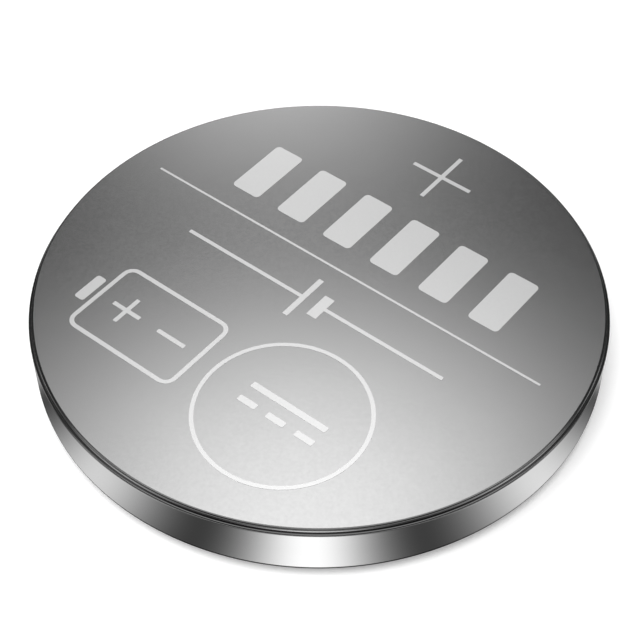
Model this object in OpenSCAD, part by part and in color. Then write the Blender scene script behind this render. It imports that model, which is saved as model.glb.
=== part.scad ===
// Lithium coin cell, 24.5 mm across and 3.0 mm high, lying with its positive face up.
// The origin is the middle of the negative face, and +Z points to the positive face.
// Every piece is a revolved section: in the section modules X is the radius, Y the height.

/* [Cell] */
// Diameter of the cell, across the can's wall
cell_d = 24.5; // [22:0.1:32]
// Height of the cell, from the negative face to the positive face
cell_h = 3.0; // [2.8:0.1:5]

/* [Positive can] */
// Thickness of the can's steel sheet
can_t = 0.25; // [0.2:0.01:0.3]
// Width of the lowered rim around the positive face
rim_w = 0.12; // [0.08:0.01:0.16]
// Drop from the positive face to the rim
rim_drop = 0.2; // [0.13:0.01:0.22]
// Rounding of the positive face's edge
face_edge_r = 0.12; // [0.05:0.01:0.12]
// Rounding between the rim and the wall
rim_edge_r = 0.1; // [0.05:0.01:0.14]
// Rounding inside the can, between its floor and its wall
can_inner_r = 0.2; // [0.1:0.01:0.25]
// Outer radius of the curl, where the wall is crimped under the cell
curl_r = 0.6; // [0.5:0.01:0.7]
// Turn of the crimped sheet, from the wall's direction to the lip's
crimp_turn = 105; // [95:1:110]
// Straight length of the lip past the curl
lip_l = 0.35; // [0.1:0.05:0.5]
// Height of the lip's lowest line above the negative face
lip_rise = 0.2; // [0.1:0.05:0.3]

/* [Sealing gasket] */
// Thickness of the gasket between the can's wall and the cap's skirt
gasket_t = 0.3; // [0.2:0.01:0.4]
// Thickness left where the lip's edge bites into the gasket
squeeze_t = 0.1; // [0.06:0.01:0.2]
// Thickness of the gasket's floor, between the skirt's end and the can
gasket_floor_t = 0.3; // [0.2:0.01:0.4]
// Thickness of the gasket's inner wall, behind the skirt
upstand_t = 0.25; // [0.2:0.01:0.4]
// Height of the gasket's inner wall above its floor
upstand_h = 0.5; // [0.3:0.05:0.8]
// Width of the gasket that shows between the lip and the cap
gasket_show_w = 0.4; // [0.1:0.05:0.45]
// Rounding of the gasket's edge that shows
gasket_edge_r = 0.08; // [0.04:0.01:0.1]

/* [Negative cap] */
// Width of the cap's shoulder that shows between the gasket and the raised part
shoulder_show_w = 0.6; // [0.3:0.05:2]
// Thickness of the cap's steel sheet
cap_t = 0.25; // [0.2:0.01:0.3]
// Outer rounding of the negative face's edge
cap_edge_r = 0.35; // [0.31:0.01:0.4]
// Rounding in the corner between the raised part and the shoulder
cap_foot_r = 0.1; // [0.05:0.01:0.15]
// Outer rounding between the shoulder and the skirt
shoulder_r = 0.4; // [0.31:0.01:0.5]

/* [Electrodes] */
// Gap around the anode, inside the cap's raised part
anode_gap = 0.3; // [0.2:0.05:0.6]
// Thickness of the separator
separator_t = 0.1; // [0.05:0.01:0.2]
// Gap around the separator, inside the cap's skirt
separator_gap = 0.5; // [0.3:0.05:0.8]
// Rounding of the pellet's edge against the separator
pellet_edge_r = 0.15; // [0.05:0.01:0.2]
// Gap around the cathode ring, inside the gasket's inner wall
ring_gap = 0.4; // [0.2:0.05:0.8]
// Thickness of the cathode ring's steel sheet
ring_t = 0.15; // [0.1:0.01:0.2]
// Outer rounding between the ring's wall and its foot
ring_bend_r = 0.25; // [0.21:0.01:0.35]
// Height of the cathode ring
ring_h = 1.2; // [0.6:0.1:1.4]
// Width of the ring's foot, under the pellet's edge
ring_foot_w = 1.0; // [0.5:0.1:2]

/* [Hidden] */
$fn = 128;

// Can: its radii, the rim's height and the inside of its floor
can_r = cell_d / 2;
can_in_r = can_r - can_t;
face_r = can_r - rim_w;
rim_z = cell_h - rim_drop;
can_floor_z = cell_h - can_t;

// Crimp: centre of the curl, inside of its sheet, and the lip's slope and edge
curl_x = can_r - curl_r;
curl_z = lip_rise + curl_r;
curl_in_r = curl_r - can_t;
lip_in_z = lip_rise + can_t;
lip_slope = crimp_turn - 90;
lip_edge_x = curl_x - curl_r * sin(lip_slope) - lip_l * cos(lip_slope);
lip_edge_z = curl_z - curl_in_r * cos(lip_slope) + lip_l * sin(lip_slope);

// Gasket: its edge that shows, inside the lip's edge
gasket_show_x = lip_edge_x - gasket_show_w;

// Cap: its raised part stands inside the gasket, its shoulder lies on the gasket over the lip's
// edge, and its skirt stands between the gasket's two walls
cap_r = gasket_show_x - shoulder_show_w;
cap_in_r = cap_r - cap_t;
shoulder_z = lip_edge_z + squeeze_t;
skirt_r = can_in_r - gasket_t;
skirt_in_r = skirt_r - cap_t;
skirt_end_z = can_floor_z - gasket_floor_t;
upstand_x = skirt_in_r - upstand_t;

// Electrodes: the anode fills the cap's raised part and the pellet reaches the can's floor
anode_r = cap_in_r - anode_gap;
separator_z = shoulder_z + cap_t;
separator_r = skirt_in_r - separator_gap;
pellet_z = separator_z + separator_t;
ring_r = upstand_x - ring_gap;
ring_in_r = ring_r - ring_t;
ring_foot_x = ring_in_r - ring_foot_w;
ring_foot_z = can_floor_z - ring_t;

// A disc's section of radius r between two heights, with its outer corners rounded below and above
module disc_section(r, low, high, low_r, high_r) {
    half_h = (high - low) / 2;
    translate([0, low]) square([r - low_r, half_h]);
    translate([0, low + half_h]) square([r - high_r, half_h]);
    translate([0, low + low_r]) square([r, high - low - low_r - high_r]);
    if (low_r > 0) translate([r - low_r, low + low_r]) circle(low_r);
    if (high_r > 0) translate([r - high_r, high - high_r]) circle(high_r);
}

// What fills a corner at the origin, towards +X and +Y, up to a rounding of radius r
module corner_fill(r) {
    difference() {
        square(r);
        translate([r, r]) circle(r);
    }
}

// The wall's lower end: the curl's arc, then the straight lip, tangent to it
module crimp_section() {
    reach = 2 * curl_r;
    translate([curl_x, curl_z]) {
        intersection() {
            difference() {
                circle(curl_r);
                circle(curl_in_r);
            }
            polygon([[0, 0], [reach, 0], [reach, -reach],
                     [-reach * sin(lip_slope), -reach * cos(lip_slope)]]);
        }
        rotate(-lip_slope) translate([-lip_l, -curl_r]) square([lip_l, can_t]);
    }
}

// The can: face, stepped rim and wall, hollowed from below, with the crimp under it
module can_section() {
    difference() {
        union() {
            disc_section(can_r, curl_z, rim_z, 0, rim_edge_r);
            disc_section(face_r, curl_z, cell_h, 0, face_edge_r);
        }
        disc_section(can_in_r, lip_rise, can_floor_z, 0, can_inner_r);
    }
    crimp_section();
}

// The cap's outline as a filled shape: inset 0 is its outside and inset cap_t its inside
module cap_outline(inset) {
    disc_section(cap_r - inset, inset, skirt_end_z + inset, cap_edge_r - inset, 0);
    disc_section(skirt_r - inset, shoulder_z + inset, skirt_end_z + inset, shoulder_r - inset, 0);
    translate([cap_r - inset, shoulder_z + inset]) mirror([0, 1]) corner_fill(cap_foot_r + inset);
}

module cap_section() {
    difference() {
        cap_outline(0);
        cap_outline(cap_t);
    }
}

// The gasket: all that the can leaves around the cap's shoulder, skirt and skirt end,
// and an inner wall, so that the skirt stands in a groove
module gasket_section() {
    difference() {
        disc_section(can_in_r, lip_in_z, can_floor_z, curl_in_r, can_inner_r);
        cap_outline(0);
        crimp_section();
        square([gasket_show_x, shoulder_z]);
        translate([gasket_show_x, lip_in_z]) corner_fill(gasket_edge_r);
        translate([0, shoulder_z]) square([upstand_x, cell_h]);
    }
    translate([upstand_x, skirt_end_z - upstand_h]) square([upstand_t, upstand_h + gasket_floor_t]);
}

// The pellet: a rounded edge at the separator, and a step round its back that holds the ring's foot
module pellet_section() {
    disc_section(ring_in_r, pellet_z, ring_foot_z, pellet_edge_r, ring_bend_r - ring_t);
    translate([0, pellet_z]) square([ring_foot_x, can_floor_z - pellet_z]);
}

// The ring: an L of sheet, its wall around the pellet and its foot on the can's floor
module ring_section() {
    difference() {
        disc_section(ring_r, can_floor_z - ring_h, can_floor_z, 0, ring_bend_r);
        disc_section(ring_in_r, pellet_z, ring_foot_z, 0, ring_bend_r - ring_t);
        square([ring_foot_x, cell_h]);
    }
}

module positive_can() {
    color("silver") rotate_extrude() can_section();
}

module sealing_gasket() {
    color("dimgray") rotate_extrude() gasket_section();
}

module negative_cap() {
    color("lightgray") rotate_extrude() cap_section();
}

// Pressed flat on the cap's inside, level with the inside of the cap's shoulder
module lithium_anode() {
    color("gainsboro") translate([0, 0, cap_t]) cylinder(r = anode_r, h = separator_z - cap_t);
}

// Lies over the anode and the shoulder's inside
module separator() {
    color("white") translate([0, 0, separator_z]) cylinder(r = separator_r, h = separator_t);
}

module cathode_pellet() {
    color("darkslategray") rotate_extrude() pellet_section();
}

module cathode_ring() {
    color("gray") rotate_extrude() ring_section();
}

positive_can();
sealing_gasket();
negative_cap();
lithium_anode();
separator();
cathode_pellet();
cathode_ring();
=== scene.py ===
import math
import bpy
import numpy as np
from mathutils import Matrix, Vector


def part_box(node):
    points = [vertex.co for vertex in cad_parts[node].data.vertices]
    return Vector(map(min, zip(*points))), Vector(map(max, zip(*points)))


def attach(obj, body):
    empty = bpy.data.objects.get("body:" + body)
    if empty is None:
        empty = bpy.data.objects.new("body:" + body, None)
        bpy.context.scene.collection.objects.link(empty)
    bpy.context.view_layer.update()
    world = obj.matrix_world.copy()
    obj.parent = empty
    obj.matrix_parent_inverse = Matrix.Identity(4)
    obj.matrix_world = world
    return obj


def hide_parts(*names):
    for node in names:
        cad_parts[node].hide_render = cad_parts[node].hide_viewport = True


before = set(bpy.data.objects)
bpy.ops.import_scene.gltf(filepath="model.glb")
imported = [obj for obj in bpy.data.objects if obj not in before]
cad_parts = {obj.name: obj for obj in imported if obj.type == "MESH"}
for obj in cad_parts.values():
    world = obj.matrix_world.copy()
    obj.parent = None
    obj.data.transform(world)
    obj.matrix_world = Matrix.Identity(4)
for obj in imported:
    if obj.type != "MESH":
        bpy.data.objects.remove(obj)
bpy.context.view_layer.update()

mm = 0.001  # Blender works in metres, the sizes below are in millimetres
body = "root"


# Objects, colours and nodes

def addObject(name, data):
    # everything stands at the origin, unturned and unscaled, unless it is moved later
    thing = bpy.data.objects.new(name, data)
    bpy.context.scene.collection.objects.link(thing)
    return thing


def hexColor(text):
    # an sRGB hex value becomes linear red, green, blue and alpha
    srgb = [int(text[i:i + 2], 16) / 255 for i in (1, 3, 5)]
    linear = [c / 12.92 if c <= 0.04045 else ((c + 0.055) / 1.055) ** 2.4 for c in srgb]
    return (*linear, 1.0)


def addNode(tree, kind, settings=None, **inputs):
    # settings are the node's own properties. An input is a value, or a node or socket to link,
    # and its name is the socket's name with _ for a space, or _0, _1 ... for its number
    node = tree.nodes.new(kind)
    for key, value in (settings or {}).items():
        setattr(node, key, value)
    for key, value in inputs.items():
        socket = node.inputs[int(key[1:])] if key[1:].isdigit() else node.inputs[key.replace("_", " ")]
        if isinstance(value, bpy.types.Node):
            value = value.outputs[0]
        if isinstance(value, bpy.types.NodeSocket):
            tree.links.new(value, socket)
        else:
            socket.default_value = value
    return node


def calculate(tree, operation, *values, clamp=False):
    # one step of arithmetic on sockets or numbers
    numbered = {f"_{i}": value for i, value in enumerate(values)}
    return addNode(tree, "ShaderNodeMath", {"operation": operation, "use_clamp": clamp}, **numbered)


def smoothBetween(tree, value, low, high, least=0.0, most=1.0):
    # least below low, most above high and a soft S curve between; it falls where high is the lower one
    flip = high < low
    ends = (most, least) if flip else (least, most)
    return addNode(tree, "ShaderNodeMapRange", {"interpolation_type": "SMOOTHSTEP"}, _0=value,
                   _1=min(low, high), _2=max(low, high), _3=ends[0], _4=ends[1])


def bellAcross(tree, value, centre, width):
    # a bell curve: one at the centre, a bit over a third at the width, nothing far out
    offset = calculate(tree, "SUBTRACT", value, centre)
    share = calculate(tree, "DIVIDE", offset, width)
    squared = calculate(tree, "MULTIPLY", share, share)
    return calculate(tree, "EXPONENT", calculate(tree, "MULTIPLY", squared, -1.0))


def emptyMaterial(name):
    material = bpy.data.materials.new(name)
    material.use_nodes = True
    material.node_tree.nodes.clear()
    return material, material.node_tree


def newMaterial(name, **sockets):
    # a material with one Principled shader, whose sockets take the values given
    material, tree = emptyMaterial(name)
    shader = addNode(tree, "ShaderNodeBsdfPrincipled", **sockets)
    addNode(tree, "ShaderNodeOutputMaterial", Surface=shader)
    return material, tree, shader


def grainNoise(tree, sizes, detail=3.0):
    # noise whose patches measure the three given sizes in millimetres along X, Y and Z
    place = addNode(tree, "ShaderNodeTexCoord").outputs["Object"]
    scaled = addNode(tree, "ShaderNodeMapping", Vector=place, Scale=[1 / (size * mm) for size in sizes])
    return addNode(tree, "ShaderNodeTexNoise", Vector=scaled, Scale=1.0, Detail=detail, Roughness=0.55)


def colorBetween(tree, shader, share, look):
    # the base colour goes from the look's first colour to its paler one
    first, second = hexColor(look["color"]), hexColor(look["paler"])
    mixed = addNode(tree, "ShaderNodeMix", {"data_type": "RGBA"}, _0=share, _6=first, _7=second)
    tree.links.new(mixed.outputs[2], shader.inputs["Base Color"])


def roughnessAround(tree, shader, noise, middle, look):
    # the roughness wanders to both sides of its middle value. Most of the noise lies from 0.3 to 0.7
    change = look["roughnessChange"]
    wander = addNode(tree, "ShaderNodeMapRange", _0=noise, _1=0.3, _2=0.7, _3=-change, _4=change)
    tree.links.new(calculate(tree, "ADD", wander, middle).outputs[0], shader.inputs["Roughness"])


def raisedBy(tree, shader, height, look):
    # fine relief, whose depth the look gives in millimetres
    bump = addNode(tree, "ShaderNodeBump", Strength=1.0, Distance=look["relief"] * mm, Height=height)
    tree.links.new(bump.outputs[0], shader.inputs["Normal"])


# Metal pieces

canLook = {
    "name": "nickelPlatedSteelDrawn",
    "color": "#D7D7D7",
    "paler": "#DCDCDC",
    "faceRoughness": 0.18,
    "wallRoughness": 0.13,
    "roughnessChange": 0.012,
    "grain": (0.14, 0.14, 2.2),
    "relief": 0.0002,
    "cloud": (4.0, 4.0, 1.5),
}
capLook = {
    "name": "stainlessSteelSatin",
    "color": "#C6C5C2",
    "paler": "#D2D1CF",
    "faceRoughness": 0.27,
    "wallRoughness": 0.22,
    "roughnessChange": 0.025,
    "grain": (0.12, 0.12, 0.9),
    "relief": 0.0006,
    "cloud": (3.0, 3.0, 1.5),
}
ringLook = {
    "name": "stainlessSteelStamped",
    "color": "#ACABA8",
    "paler": "#BDBCBA",
    "faceRoughness": 0.34,
    "wallRoughness": 0.30,
    "roughnessChange": 0.03,
    "grain": (0.10, 0.10, 0.8),
    "relief": 0.0006,
    "cloud": (2.0, 2.0, 1.0),
}


# painted shade in the corner of the rim's step
stepShadeLook = {
    "inwards": 0.105,      # its radius is this much less than the wall's
    "half": 0.03,
    "color": "#989898",
}


def paintedStepShade(tree, shader, radius, place, look):
    # painted shade: a soft dark line in the base colour, in the corner of the rim's step where its shade
    # falls
    line = bellAcross(tree, radius, (place - look["inwards"]) * mm, look["half"] * mm)
    around = shader.inputs["Base Color"].links[0].from_socket
    mixed = addNode(tree, "ShaderNodeMix", {"data_type": "RGBA"}, _0=line, _6=around,
                    _7=hexColor(look["color"]))
    tree.links.new(mixed.outputs[2], shader.inputs["Base Color"])


def steel(look, wallFrom, soft=0.1, stepShadeFrom=None):
    # Sheet steel that a press has drawn: a metal with a soft satin shine. The rolled sheet leaves a
    # fine grain on its flat, which the press stretches to upright lines on the wall. The real grain is
    # a few thousandths of a millimetre wide, so here it is drawn coarser, to show at all
    material, tree, shader = newMaterial(look["name"], Metallic=1.0)
    place = addNode(tree, "ShaderNodeTexCoord").outputs["Object"]
    flat = addNode(tree, "ShaderNodeVectorMath", {"operation": "MULTIPLY"}, _0=place, _1=(1.0, 1.0, 0.0))
    radius = addNode(tree, "ShaderNodeVectorMath", {"operation": "LENGTH"}, _0=flat).outputs["Value"]
    onWall = smoothBetween(tree, radius, (wallFrom - soft) * mm, (wallFrom + soft) * mm)
    grain = grainNoise(tree, look["grain"])
    even = addNode(tree, "ShaderNodeMapRange", _0=onWall, _3=look["faceRoughness"], _4=look["wallRoughness"])
    colorBetween(tree, shader, grainNoise(tree, look["cloud"], detail=2.0), look)
    # painted shade along the corner of the rim's step
    if stepShadeFrom:
        paintedStepShade(tree, shader, radius, stepShadeFrom, stepShadeLook)
    roughnessAround(tree, shader, grain, even, look)
    raisedBy(tree, shader, grain, look)
    return material


# Plastic, lithium and the cathode

gasketLook = {
    "color": "#3B3C3E",
    "paler": "#46474A",
    "ior": 1.49,
    "roughness": 0.42,
    "roughnessChange": 0.04,
    "flow": (0.5, 0.5, 1.5),
}
lithiumLook = {
    "color": "#B4B3AC",
    "paler": "#C9C8C3",
    "roughness": 0.48,
    "roughnessChange": 0.08,
    "streak": (0.25, 4.0, 4.0),
    "relief": 0.002,
}
separatorLook = {
    "color": "#E4E3DE",
    "paler": "#F3F2EF",
    "roughness": 0.90,
    "fibre": 0.12,
    "fibreLength": 0.96,
    "relief": 0.01,
}
pelletLook = {
    "color": "#1B1A1A",
    "paler": "#343333",
    "roughness": 0.80,
    "grit": (0.09, 0.09, 0.09),
    "relief": 0.006,
}


def mouldedPlastic(look):
    # Injection moulded polypropylene: an even dark plastic with a dull gloss and a very faint flow
    material, tree, shader = newMaterial("polypropyleneMoulded", IOR=look["ior"])
    flow = grainNoise(tree, look["flow"])
    colorBetween(tree, shader, flow, look)
    roughnessAround(tree, shader, flow, look["roughness"], look)
    return material


def rolledLithium(look):
    # Lithium foil fresh from its rolls: a soft, slightly warm metal, dulled in streaks along the rolling
    material, tree, shader = newMaterial("lithiumFoilRolled", Metallic=1.0)
    streak = grainNoise(tree, look["streak"])
    colorBetween(tree, shader, streak, look)
    roughnessAround(tree, shader, streak, look["roughness"], look)
    raisedBy(tree, shader, streak, look)
    return material


def nonWovenFelt(look):
    # Non-woven polypropylene: a matte white mat of crossing fibres, drawn ten times their real width
    material, tree, shader = newMaterial("polypropyleneNonWoven", Roughness=look["roughness"])
    wide, long = look["fibre"], look["fibreLength"]
    longWay = grainNoise(tree, (wide, long, 1.0), detail=4.0)
    crossWay = grainNoise(tree, (long, wide, 1.0), detail=4.0)
    mat = calculate(tree, "MAXIMUM", longWay, crossWay)
    colorBetween(tree, shader, mat, look)
    raisedBy(tree, shader, mat, look)
    return material


def pressedPellet(look):
    # Manganese dioxide and graphite pressed to a tablet: near black and dull, with a fine dark grit
    material, tree, shader = newMaterial("manganeseDioxidePressed", Roughness=look["roughness"])
    grit = grainNoise(tree, look["grit"], detail=5.0)
    colorBetween(tree, shader, grit, look)
    raisedBy(tree, shader, grit, look)
    return material


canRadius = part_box("positive_can")[1].x / mm
finishes = {
    # the can's steel carries a painted shade line in the corner of the rim's step
    "positive_can": steel(canLook, wallFrom=canRadius - 0.15, stepShadeFrom=canRadius),
    "negative_cap": steel(capLook, wallFrom=canRadius - 2.4),
    "cathode_ring": steel(ringLook, wallFrom=canRadius - 1.7),
    "sealing_gasket": mouldedPlastic(gasketLook),
    "lithium_anode": rolledLithium(lithiumLook),
    "separator": nonWovenFelt(separatorLook),
    "cathode_pellet": pressedPellet(pelletLook),
}
for nodeName, material in finishes.items():
    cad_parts[nodeName].data.materials.clear()
    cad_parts[nodeName].data.materials.append(material)
print("materials on", len(finishes), "pieces")


# Smooth turned pieces

def flatRun(start, end):
    # a straight run of a section: it faces the left of its own direction
    (x0, y0), (x1, y1) = start, end
    facing = np.array([y0 - y1, x1 - x0]) / math.hypot(x1 - x0, y1 - y0)
    return np.array([start, end], float), np.array([facing, facing])


def arcRun(centre, radius, start, end, side=1, steps=12):
    # an arc of a section, in degrees; side 1 faces away from its centre and side -1 towards it
    turn = np.radians(np.linspace(start, end, steps + 1))
    outward = np.stack([np.cos(turn), np.sin(turn)], axis=1)
    return np.array(centre) + outward * radius, outward * side


def aroundAxis(section, turns):
    # (r, z) turned round the axis becomes (r cos t, r sin t, z), for t in equal steps once round
    t = np.linspace(0, 2 * math.pi, turns, endpoint=False)
    r, z = section[:, 0], section[:, 1]
    return np.stack([np.outer(np.cos(t), r), np.outer(np.sin(t), r), np.tile(z, (turns, 1))], axis=-1)


def revolve(name, runs, material, turns=256):
    # A closed section that begins and ends on the axis, turned once round. Every corner of a face takes
    # its direction from the section itself, so arcs come out smooth and creases stay sharp
    section = np.concatenate([runs[0][0][:1]] + [points[1:] for points, _ in runs])
    first = np.concatenate([facing[:-1] for _, facing in runs])
    last = np.concatenate([facing[1:] for _, facing in runs])
    rings = len(section) - 2
    vertices = np.concatenate([[(0, 0, section[0, 1]), (0, 0, section[-1, 1])],
                               aroundAxis(section[1:-1], turns).reshape(-1, 3)])
    here, step = np.meshgrid(np.arange(turns), np.arange(rings - 1), indexing="ij")
    here, step = here.ravel(), step.ravel()
    after = (here + 1) % turns
    quads = 2 + np.stack([here * rings + step, here * rings + step + 1,
                          after * rings + step + 1, after * rings + step], axis=1)
    ring = np.arange(turns)
    nextRing = (ring + 1) % turns
    top = np.stack([np.full(turns, 0), 2 + ring * rings, 2 + nextRing * rings], axis=1)
    lowest = 1 + rings
    bottom = np.stack([np.full(turns, 1), nextRing * rings + lowest, ring * rings + lowest], axis=1)
    firstAround, lastAround = aroundAxis(first, turns), aroundAxis(last, turns)
    quadFacing = np.stack([firstAround[here, step + 1], lastAround[here, step + 1],
                           lastAround[after, step + 1], firstAround[after, step + 1]], axis=1)
    facing = np.concatenate([quadFacing.reshape(-1, 3), np.tile([(0, 0, first[0, 1])], (3 * turns, 1)),
                             np.tile([(0, 0, last[-1, 1])], (3 * turns, 1))])
    mesh = bpy.data.meshes.new(name)
    mesh.from_pydata((vertices * mm).tolist(), [], quads.tolist() + top.tolist() + bottom.tolist())
    mesh.polygons.foreach_set("use_smooth", np.ones(len(mesh.polygons), bool))
    mesh.normals_split_custom_set(facing.tolist())
    mesh.materials.append(material)
    return addObject(name, mesh)


canShape = {
    "radius": 12.25,
    "height": 3.0,
    "sheet": 0.25,
    "rimWide": 0.12,
    "rimDrop": 0.2,
    "faceEdge": 0.12,
    "rimEdge": 0.1,
    "innerEdge": 0.2,
    "curl": 0.6,
    "crimpTurn": 105,
    "lip": 0.35,
    "lipRise": 0.2,
}


def smoothCan(shape):
    # the can of the model, with the same sizes and without its facets
    radius, top, sheet = shape["radius"], shape["height"], shape["sheet"]
    faceEdge, rimEdge, innerEdge = shape["faceEdge"], shape["rimEdge"], shape["innerEdge"]
    face, rim, curl = radius - shape["rimWide"], top - shape["rimDrop"], shape["curl"]
    floor, inside = top - sheet, radius - sheet
    curlPlace = np.array([radius - curl, shape["lipRise"] + curl])
    slope = math.radians(90 - shape["crimpTurn"])
    turned = np.array([[math.cos(slope), math.sin(slope)], [-math.sin(slope), math.cos(slope)]])
    lip = np.array([(0, -curl), (-shape["lip"], -curl), (-shape["lip"], sheet - curl), (0, sheet - curl)])
    lip = lip @ turned + curlPlace
    runs = [
        flatRun((0, top), (face - faceEdge, top)),
        arcRun((face - faceEdge, top - faceEdge), faceEdge, 90, 0),
        flatRun((face, top - faceEdge), (face, rim)),
        flatRun((face, rim), (radius - rimEdge, rim)),
        arcRun((radius - rimEdge, rim - rimEdge), rimEdge, 90, 0),
        flatRun((radius, rim - rimEdge), (radius, curlPlace[1])),
        arcRun(curlPlace, curl, 0, -shape["crimpTurn"], steps=16),
        flatRun(lip[0], lip[1]),
        flatRun(lip[1], lip[2]),
        flatRun(lip[2], lip[3]),
        arcRun(curlPlace, curl - sheet, -shape["crimpTurn"], 0, side=-1),
        flatRun((inside, curlPlace[1]), (inside, floor - innerEdge)),
        arcRun((inside - innerEdge, floor - innerEdge), innerEdge, 0, 90, side=-1, steps=8),
        flatRun((inside - innerEdge, floor), (0, floor)),
    ]
    can = revolve("smooth_can", runs, finishes["positive_can"])
    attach(can, body)
    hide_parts("positive_can")
    return can


capShape = {
    "radius": 10.157,
    "sheet": 0.25,
    "edge": 0.35,
    "foot": 0.1,
    "shoulderHeight": 0.653,
    "shoulderEdge": 0.4,
    "skirtRadius": 11.7,
    "skirtTop": 2.45,
}


def smoothCap(shape):
    # the cap of the model, likewise: along its inside, over the skirt's end and back along its outside
    radius, sheet, edge, foot = shape["radius"], shape["sheet"], shape["edge"], shape["foot"]
    shoulder, bend = shape["shoulderHeight"], shape["shoulderEdge"]
    skirt, end = shape["skirtRadius"], shape["skirtTop"]
    within, above, inSkirt = radius - sheet, shoulder + sheet, skirt - sheet
    smallEdge, smallBend, bigFoot = edge - sheet, bend - sheet, foot + sheet
    runs = [
        flatRun((0, sheet), (within - smallEdge, sheet)),
        arcRun((within - smallEdge, edge), smallEdge, -90, 0, side=-1, steps=8),
        flatRun((within, edge), (within, above - bigFoot)),
        arcRun((within + bigFoot, above - bigFoot), bigFoot, 180, 90),
        flatRun((within + bigFoot, above), (inSkirt - smallBend, above)),
        arcRun((inSkirt - smallBend, above + smallBend), smallBend, -90, 0, side=-1, steps=8),
        flatRun((inSkirt, above + smallBend), (inSkirt, end)),
        flatRun((inSkirt, end), (skirt, end)),
        flatRun((skirt, end), (skirt, shoulder + bend)),
        arcRun((skirt - bend, shoulder + bend), bend, 0, -90),
        flatRun((skirt - bend, shoulder), (radius + foot, shoulder)),
        arcRun((radius + foot, shoulder - foot), foot, 90, 180, side=-1, steps=8),
        flatRun((radius, shoulder - foot), (radius, edge)),
        arcRun((radius - edge, edge), edge, 0, -90),
        flatRun((radius - edge, 0), (0, 0)),
    ]
    cap = revolve("smooth_cap", runs, finishes["negative_cap"])
    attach(cap, body)
    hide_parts("negative_cap")
    return cap


smoothCan(canShape)
smoothCap(capShape)
print("smooth can and cap")


# Marks on the positive face

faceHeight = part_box("positive_can")[1].z / mm
printLook = {
    "color": "#F0F0F0",
    "paler": "#F8F8F8",
    "roughness": 0.22,
    "metallic": 0.60,
    "speck": (0.08, 0.08, 0.08),
    "turn": -38.6,     # the print's lines run this many degrees off the X axis
    "lift": 0.008,     # how far the frosted print stands proud of the face
    "sink": 0.004,
}


def frostedPrint(look):
    # A pale frosted print fired on the steel: partly metal and partly chalky, so it stays light where
    # the polished face around it goes dark
    material, tree, shader = newMaterial("frostedPrint", Metallic=look["metallic"],
                                         Roughness=look["roughness"])
    colorBetween(tree, shader, grainNoise(tree, look["speck"]), look)
    return material


printMaterial = frostedPrint(printLook)


def onFace(points, heights):
    # points in the print's own two axes become places on the face, in metres
    turn = math.radians(printLook["turn"])
    along, across = points[..., 0], points[..., 1]
    x = along * math.cos(turn) - across * math.sin(turn)
    y = along * math.sin(turn) + across * math.cos(turn)
    return np.stack([x, y, heights], axis=-1) * mm


def padSkin(outline):
    # the closed skin of a flat pad: its outline, which runs anticlockwise, is laid twice, under and
    # over the face, and joined by a quad on each side
    low, high = faceHeight - printLook["sink"], faceHeight + printLook["lift"]
    count = len(outline)
    vertices = np.concatenate([onFace(outline, np.full(count, low)), onFace(outline, np.full(count, high))])
    here = np.arange(count)
    after = (here + 1) % count
    sides = np.stack([here, after, after + count, here + count], axis=1)
    return vertices, [here[::-1], here + count, *sides]


def lineSkin(path, outward, width):
    # the closed skin of a flat line of even width round a closed path: a small rectangle, its four
    # corners set inwards and outwards from each point of the path by half the width, carried once round
    low, high = faceHeight - printLook["sink"], faceHeight + printLook["lift"]
    inner, outer = path - outward * width / 2, path + outward * width / 2
    count = len(path)
    rows = np.stack([onFace(inner, np.full(count, low)), onFace(outer, np.full(count, low)),
                     onFace(outer, np.full(count, high)), onFace(inner, np.full(count, high))], axis=1)
    along, corner = np.meshgrid(np.arange(count), np.arange(4), indexing="ij")
    nextAlong, nextCorner = (along + 1) % count, (corner + 1) % 4
    quads = np.stack([along * 4 + corner, nextAlong * 4 + corner,
                      nextAlong * 4 + nextCorner, along * 4 + nextCorner], axis=-1)
    return rows.reshape(-1, 3), list(quads.reshape(-1, 4))


def addMark(name, skins):
    # one piece from one or more skins that don't touch
    vertices, faces, first = [], [], 0
    for points, polygons in skins:
        vertices.append(points)
        faces += [(polygon + first).tolist() for polygon in polygons]
        first += len(points)
    mesh = bpy.data.meshes.new(name)
    mesh.from_pydata(np.concatenate(vertices).tolist(), [], faces)
    mesh.materials.append(printMaterial)
    mark = addObject(name, mesh)
    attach(mark, body)
    return mark


def arcPath(centre, radius, start, end, count):
    # points on a circle's arc, in degrees, and the outward direction at each
    turn = np.radians(np.linspace(start, end, count))
    outward = np.stack([np.cos(turn), np.sin(turn)], axis=1)
    return np.array(centre) + outward * radius, outward


def barPath(left, right, low, high, corner=0.05, points=6):
    # a rectangle with a quarter circle at each corner, anticlockwise from its right end
    places = [(right - corner, high - corner), (left + corner, high - corner),
              (left + corner, low + corner), (right - corner, low + corner)]
    arcs = [arcPath(place, corner, 90 * i, 90 * i + 90, points) for i, place in enumerate(places)]
    paths, outwards = zip(*arcs)
    return np.concatenate(paths), np.concatenate(outwards)


def barSkin(left, right, low, high, corner=0.05):
    return padSkin(barPath(left, right, low, high, corner)[0])


def crossSkin(centre, reach, width):
    half = width / 2
    # one arm's three corners, which four quarter turns carry round
    arm = np.array([(reach, -half), (reach, half), (half, half)])
    quarter = np.array([(0.0, 1.0), (-1.0, 0.0)])
    arms = [arm @ np.linalg.matrix_power(quarter, turns) for turns in range(4)]
    return padSkin(np.concatenate(arms) + centre)


signLook = {
    "centre": (-0.05, 8.97),
    "reach": 1.55,
    "width": 0.2,
}


def polaritySign(look):
    return addMark("polarity_sign", [crossSkin(look["centre"], look["reach"], look["width"])])


dividerLook = {
    "left": -10.45,
    "right": 10.15,
    "across": 1.48,
    "width": 0.11,
    "endShare": 0.9,    # the rounding of its ends, as a share of half its width
}


def dividerLine(look):
    half, across = look["width"] / 2, look["across"]
    line = barSkin(look["left"], look["right"], across - half, across + half, half * look["endShare"])
    return addMark("divider_line", [line])


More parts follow.
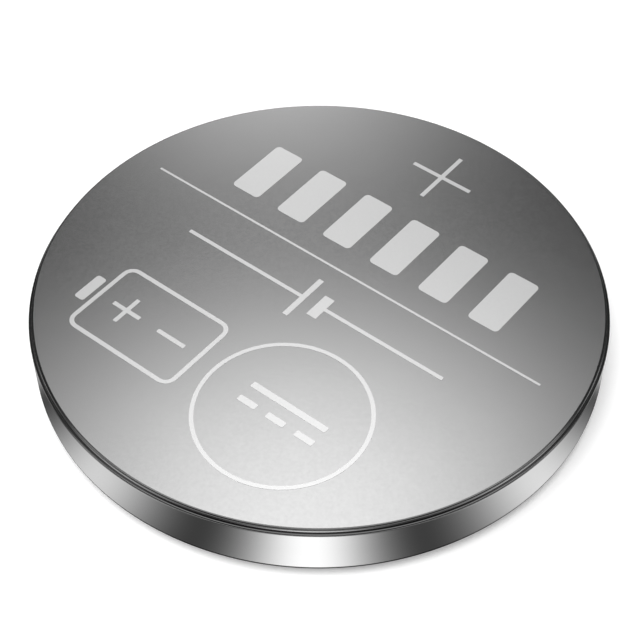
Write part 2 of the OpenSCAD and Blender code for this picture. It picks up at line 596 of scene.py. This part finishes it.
gaugeLook = {
    "left": -7.2,
    "right": 7.2,
    "low": 2.7,
    "high": 6.0,
    "bars": 6,
    "barShare": 0.58,   # of a bar and the space after it
    "corner": 0.2,
}


def gaugeBars(look):
    # equal upright bars in a row, like a charge gauge
    step = (look["right"] - look["left"]) / (look["bars"] - 1 + look["barShare"])
    wide = step * look["barShare"]
    starts = look["left"] + step * np.arange(look["bars"])
    return addMark("gauge_bars", [barSkin(start, start + wide, look["low"], look["high"], look["corner"])
                                  for start in starts])


symbolLook = {
    "left": -6.7,
    "right": 6.9,
    "across": -0.7,
    "lead": 0.18,
    "gap": 0.55,
    "longPlate": (0.26, 2.5),
    "shortPlate": (0.5, 1.3),
}


def cellSymbol(look):
    # the circuit symbol of a cell: a lead to a long thin plate, a gap, a short thick plate and a lead.
    # Each half is one outline: the lead's two corners, then the plate's, with the lead's notches
    middle, lead, gap = (look["left"] + look["right"]) / 2, look["lead"] / 2, look["gap"] / 2

    def half(side, end, plate):
        thick, top = plate[0], plate[1] / 2
        near, far = middle + side * gap, middle + side * (gap + thick)
        corners = [(end, lead), (end, -lead), (far, -lead), (far, -top), (near, -top), (near, top),
                   (far, top), (far, lead)]
        return padSkin(np.array(corners[::-side]) + (0.0, look["across"]))

    return addMark("cell_symbol", [half(-1, look["left"], look["longPlate"]),
                                   half(1, look["right"], look["shortPlate"])])


emblemLook = {
    "centre": (2.98, -6.07),
    "radius": 3.6,
    "width": 0.18,
    "ringPoints": 160,
    "signHalf": 1.9,
    "signWidth": 0.3,
    "signApart": 0.42,
    "dashes": 3,
    "dashShare": 0.62,  # of a dash and the space after it
}


def currentEmblem(look):
    # a ring round the sign of direct current, which is a line over a row of dashes
    (along, across), half, thick = look["centre"], look["signHalf"], look["signWidth"] / 2
    upper, lower = across + look["signApart"], across - look["signApart"]
    step = 2 * half / (look["dashes"] - 1 + look["dashShare"])
    starts = along - half + step * np.arange(look["dashes"])
    points = look["ringPoints"]
    ring = arcPath(look["centre"], look["radius"], 0, 360 * (points - 1) / points, points)
    line = barSkin(along - half, along + half, upper - thick, upper + thick)
    dashes = [barSkin(start, start + step * look["dashShare"], lower - thick, lower + thick)
              for start in starts]
    return addMark("current_emblem", [lineSkin(*ring, look["width"]), line, *dashes])


iconLook = {
    "centre": (-4.35, -5.9),
    "half": (2.8, 1.95),
    "width": 0.2,
    "corner": 0.45,
    "nub": (0.2, 0.5, 0.75),   # its gap from the frame, its length and half its height
    "nubCorner": 0.12,
    "signAt": 1.25,
    "signReach": 0.75,
}


def batteryIcon(look):
    # a plain battery: a rounded frame, a nub at its left end, and a cross and a bar inside
    (along, across), (wide, tall), line = look["centre"], look["half"], look["width"]
    gap, nubLong, nubHalf = look["nub"]
    signAt, reach = look["signAt"], look["signReach"]
    edge = barPath(along - wide, along + wide, across - tall, across + tall, look["corner"])
    end = along - wide - line / 2 - gap
    nub = barSkin(end - nubLong, end, across - nubHalf, across + nubHalf, look["nubCorner"])
    plus = crossSkin((along - signAt, across), reach, line)
    minus = barSkin(along + signAt - reach, along + signAt + reach, across - line / 2, across + line / 2)
    return addMark("battery_icon", [lineSkin(*edge, line), nub, plus, minus])


marks = [polaritySign(signLook), dividerLine(dividerLook), gaugeBars(gaugeLook),
         cellSymbol(symbolLook), currentEmblem(emblemLook), batteryIcon(iconLook)]
print("marks", len(marks))


# Floor and reflected cards

stageLook = {
    "floorWidth": 1600,
    "floorHeight": -0.01,
    "floorPaint": "#D6D6D6",
    "floorGlow": 0.38,      # what the camera sees of the floor beside its own light, so that it ends white
    "floorWhite": (60, 160),   # between these distances it turns to the plain white of the background
    "cardFrom": 10.0,
    "paintedShadowEdge": (12.25, 12.45),   # painted shadow: the cards are dark up to here, under the cell's own edge, where the shade under the cell falls
    "cardTo": 600,
    "cardFade": (20, 40),   # between these radii the cards fade to a dark surround
    "surround": 0.06,
    "cardHeight": 0.02,
    "cardFaces": 96,
    "cardBright": 1.5,
    "cardLeast": 0.01,
    # each card: its angle round the cell from the front, its half width in degrees and its brightness
    "cards": [(-81, 4.5, 0.3), (-49.6, 13.5, 0.55), (-1.8, 11.2, 0.96), (48.5, 14.8, 0.62),
              (81, 4.5, 0.4), (136, 14, 0.6), (-136, 14, 0.6), (180, 14, 0.8), (-180, 14, 0.8)],
}


def stageMesh(name, vertices, faces, material):
    mesh = bpy.data.meshes.new(name)
    mesh.from_pydata((np.array(vertices) * mm).tolist(), [], np.array(faces).tolist())
    mesh.materials.append(material)
    thing = addObject(name, mesh)
    return thing


def studioFloor(look):
    # plain pale floor: painted matte, and lit up a little for the camera and for reflections alone,
    # so that it comes out white and the shadow stays
    material, tree = emptyMaterial("paleFloor")
    ray = addNode(tree, "ShaderNodeLightPath").outputs
    mirrored = calculate(tree, "MAXIMUM", ray["Is Glossy Ray"], ray["Is Transmission Ray"])
    seen = calculate(tree, "MAXIMUM", ray["Is Camera Ray"], mirrored)
    paint = addNode(tree, "ShaderNodeBsdfDiffuse", Color=hexColor(look["floorPaint"]))
    glow = addNode(tree, "ShaderNodeEmission", Strength=calculate(tree, "MULTIPLY", seen, look["floorGlow"]))
    near = addNode(tree, "ShaderNodeAddShader", _0=paint, _1=glow)
    place = addNode(tree, "ShaderNodeTexCoord").outputs["Object"]
    distance = addNode(tree, "ShaderNodeVectorMath", {"operation": "LENGTH"}, _0=place).outputs["Value"]
    start, end = look["floorWhite"]
    away = calculate(tree, "MULTIPLY", seen, smoothBetween(tree, distance, start * mm, end * mm))
    white = addNode(tree, "ShaderNodeEmission", Strength=1.0)
    whole = addNode(tree, "ShaderNodeMixShader", _0=away, _1=near, _2=white)
    addNode(tree, "ShaderNodeOutputMaterial", Surface=whole)
    half, z = look["floorWidth"] / 2, look["floorHeight"]
    corners = [(-half, -half, z), (half, -half, z), (half, half, z), (-half, half, z)]
    return stageMesh("floor", corners, [[0, 1, 2, 3]], material)


def cardRing(look):
    # soft pale and dark cards that lie round the cell and show only in its side, as round a polished
    # product in a studio
    material, tree = emptyMaterial("reflectedCards")
    flat = addNode(tree, "ShaderNodeTexCoord").outputs["Object"]
    place = addNode(tree, "ShaderNodeSeparateXYZ", Vector=flat)
    front = calculate(tree, "MULTIPLY", place.outputs["Y"], -1.0)
    angle = calculate(tree, "ARCTAN2", place.outputs["X"], front)
    pale = look["cardLeast"]
    for degrees, half, bright in look["cards"]:
        card = bellAcross(tree, angle, math.radians(degrees), math.radians(half))
        pale = calculate(tree, "MULTIPLY_ADD", card, bright, pale)
    across = addNode(tree, "ShaderNodeVectorMath", {"operation": "LENGTH"}, _0=flat).outputs["Value"]
    # painted shadow: the cards stay dark under the cell's own edge, as the shade under the cell, which the
    # foot of the wall shows in reflection
    start, end = look["paintedShadowEdge"]
    clear = smoothBetween(tree, across, start * mm, end * mm, 0.0, look["cardBright"])
    near, far = look["cardFade"]
    away = smoothBetween(tree, across, near * mm, far * mm)
    shown = addNode(tree, "ShaderNodeMix", _0=away, _2=pale, _3=look["surround"])
    glow = addNode(tree, "ShaderNodeEmission", Strength=calculate(tree, "MULTIPLY", shown, clear))
    addNode(tree, "ShaderNodeOutputMaterial", Surface=glow)
    count = look["cardFaces"]
    radii = np.array([(look["cardFrom"], look["cardHeight"]), (look["cardTo"], look["cardHeight"])])
    here = 2 * np.arange(count)
    after = (here + 2) % (2 * count)
    faces = np.stack([here, here + 1, after + 1, after], axis=1)
    ring = stageMesh("card_ring", aroundAxis(radii, count).reshape(-1, 3), faces, material)
    for sight in ("camera", "diffuse", "transmission", "volume_scatter", "shadow"):
        setattr(ring, "visible_" + sight, False)
    return ring


studioFloor(stageLook)
cardRing(stageLook)


# Studio light

skyLook = {
    "fill": 0.024,
    "nearShare": 0.15,           # the strip and glow on the camera's side are weaker
    "near": (-0.45, -0.05),
    "besideShare": 0.35,         # and so are those to both sides
    "strip": {"bright": 1.4, "none": 0.698, "full": 0.814, "half": 0.178, "offset": -0.013},
    "glow": {"bright": 1.24, "none": 0.724, "full": 0.564, "half": 0.112, "offset": -0.027},
    "glowUnder": (0.40, 0.50),
    "topBright": 0.28,
    "top": (0.86, 0.95),
    "horizonBright": 0.28,
    "horizonOver": (0.42, 0.30),
    "horizonUnder": (0.04, 0.12),
    "horizonFront": (0.05, -0.10),   # the horizon is pale in front of the cell and straight behind it
    "horizonBack": (0.80, 0.92),
}
lampLook = {
    "place": (-70, -110, 410),
    "size": 300,
    "watts": 2.2,
}


def studioSky(look):
    # One soft studio round the cell, by direction (X, Y, Z of the ray): a cross of two overhead light
    # strips that fade in above 45 degrees, a soft round top, narrow glows low behind each side, and a
    # pale horizon. Each strip and glow is a bell curve across and an S curve in height
    world = bpy.data.worlds.new("softStudio")
    bpy.context.scene.world = world
    world.use_nodes = True
    tree = world.node_tree
    tree.nodes.clear()
    direction = addNode(tree, "ShaderNodeTexCoord").outputs["Generated"]
    ray = addNode(tree, "ShaderNodeSeparateXYZ", Vector=direction)
    x, y, z = ray.outputs["X"], ray.outputs["Y"], ray.outputs["Z"]
    behind = smoothBetween(tree, y, *look["near"], look["nearShare"], 1.0)

    def layer(shape):
        across = bellAcross(tree, x, shape["offset"], shape["half"])
        across = calculate(tree, "MULTIPLY", across, behind)
        beside = bellAcross(tree, y, shape["offset"], shape["half"])
        beside = calculate(tree, "MULTIPLY", beside, look["besideShare"])
        height = smoothBetween(tree, z, shape["none"], shape["full"], 0.0, shape["bright"])
        return calculate(tree, "MULTIPLY", calculate(tree, "MAXIMUM", across, beside), height)

    strips = layer(look["strip"])
    upTop = smoothBetween(tree, z, *look["top"])
    strips = addNode(tree, "ShaderNodeMix", _0=upTop, _2=strips, _3=look["topBright"])
    glows = calculate(tree, "MULTIPLY", layer(look["glow"]), smoothBetween(tree, z, *look["glowUnder"]))
    horizon = smoothBetween(tree, z, *look["horizonOver"], 0.0, look["horizonBright"])
    horizon = calculate(tree, "MULTIPLY", horizon, smoothBetween(tree, z, *look["horizonUnder"]))
    frontOrBack = calculate(tree, "MAXIMUM", smoothBetween(tree, y, *look["horizonFront"]),
                            smoothBetween(tree, y, *look["horizonBack"]))
    horizon = calculate(tree, "MULTIPLY", horizon, frontOrBack)
    brightest = calculate(tree, "MAXIMUM", calculate(tree, "MAXIMUM", strips, glows), horizon)
    studio = calculate(tree, "ADD", brightest, look["fill"])
    backdrop = addNode(tree, "ShaderNodeLightPath").outputs["Is Camera Ray"]
    strength = addNode(tree, "ShaderNodeMix", _0=backdrop, _2=studio, _3=1.0)
    background = addNode(tree, "ShaderNodeBackground", Color=hexColor("#FFFFFF"), Strength=strength)
    addNode(tree, "ShaderNodeOutputWorld", Surface=background)


def softLamp(look):
    # a big soft lamp above the front left, for the matte surfaces and the shadow; metal doesn't show it
    lamp = bpy.data.lights.new("softLamp", "AREA")
    lamp.shape = "DISK"
    lamp.size = look["size"] * mm
    lamp.energy = look["watts"]
    thing = addObject("softLamp", lamp)
    thing.location = Vector(look["place"]) * mm
    thing.rotation_euler = (-thing.location).to_track_quat("-Z", "Y").to_euler()
    thing.visible_glossy = False
    return thing


studioSky(skyLook)
softLamp(lampLook)
print("stage and light")


# Camera

cameraLook = {
    "place": (0.0, -44.14, 50.35),
    "aim": (0.03, 0.0, 1.16),
    "lens": 86.0,
    "sensor": 36.0,
}


def addCamera(look):
    camera = bpy.data.cameras.new("camera")
    camera.lens = look["lens"]
    camera.sensor_width = look["sensor"]
    camera.clip_start = 1 * mm
    camera.clip_end = 5000 * mm
    thing = addObject("camera", camera)
    place, aim = Vector(look["place"]) * mm, Vector(look["aim"]) * mm
    thing.location = place
    thing.rotation_euler = (aim - place).to_track_quat("-Z", "Y").to_euler()
    bpy.context.scene.camera = thing


addCamera(cameraLook)
bpy.context.scene.view_settings.view_transform = "Standard"
print("camera")
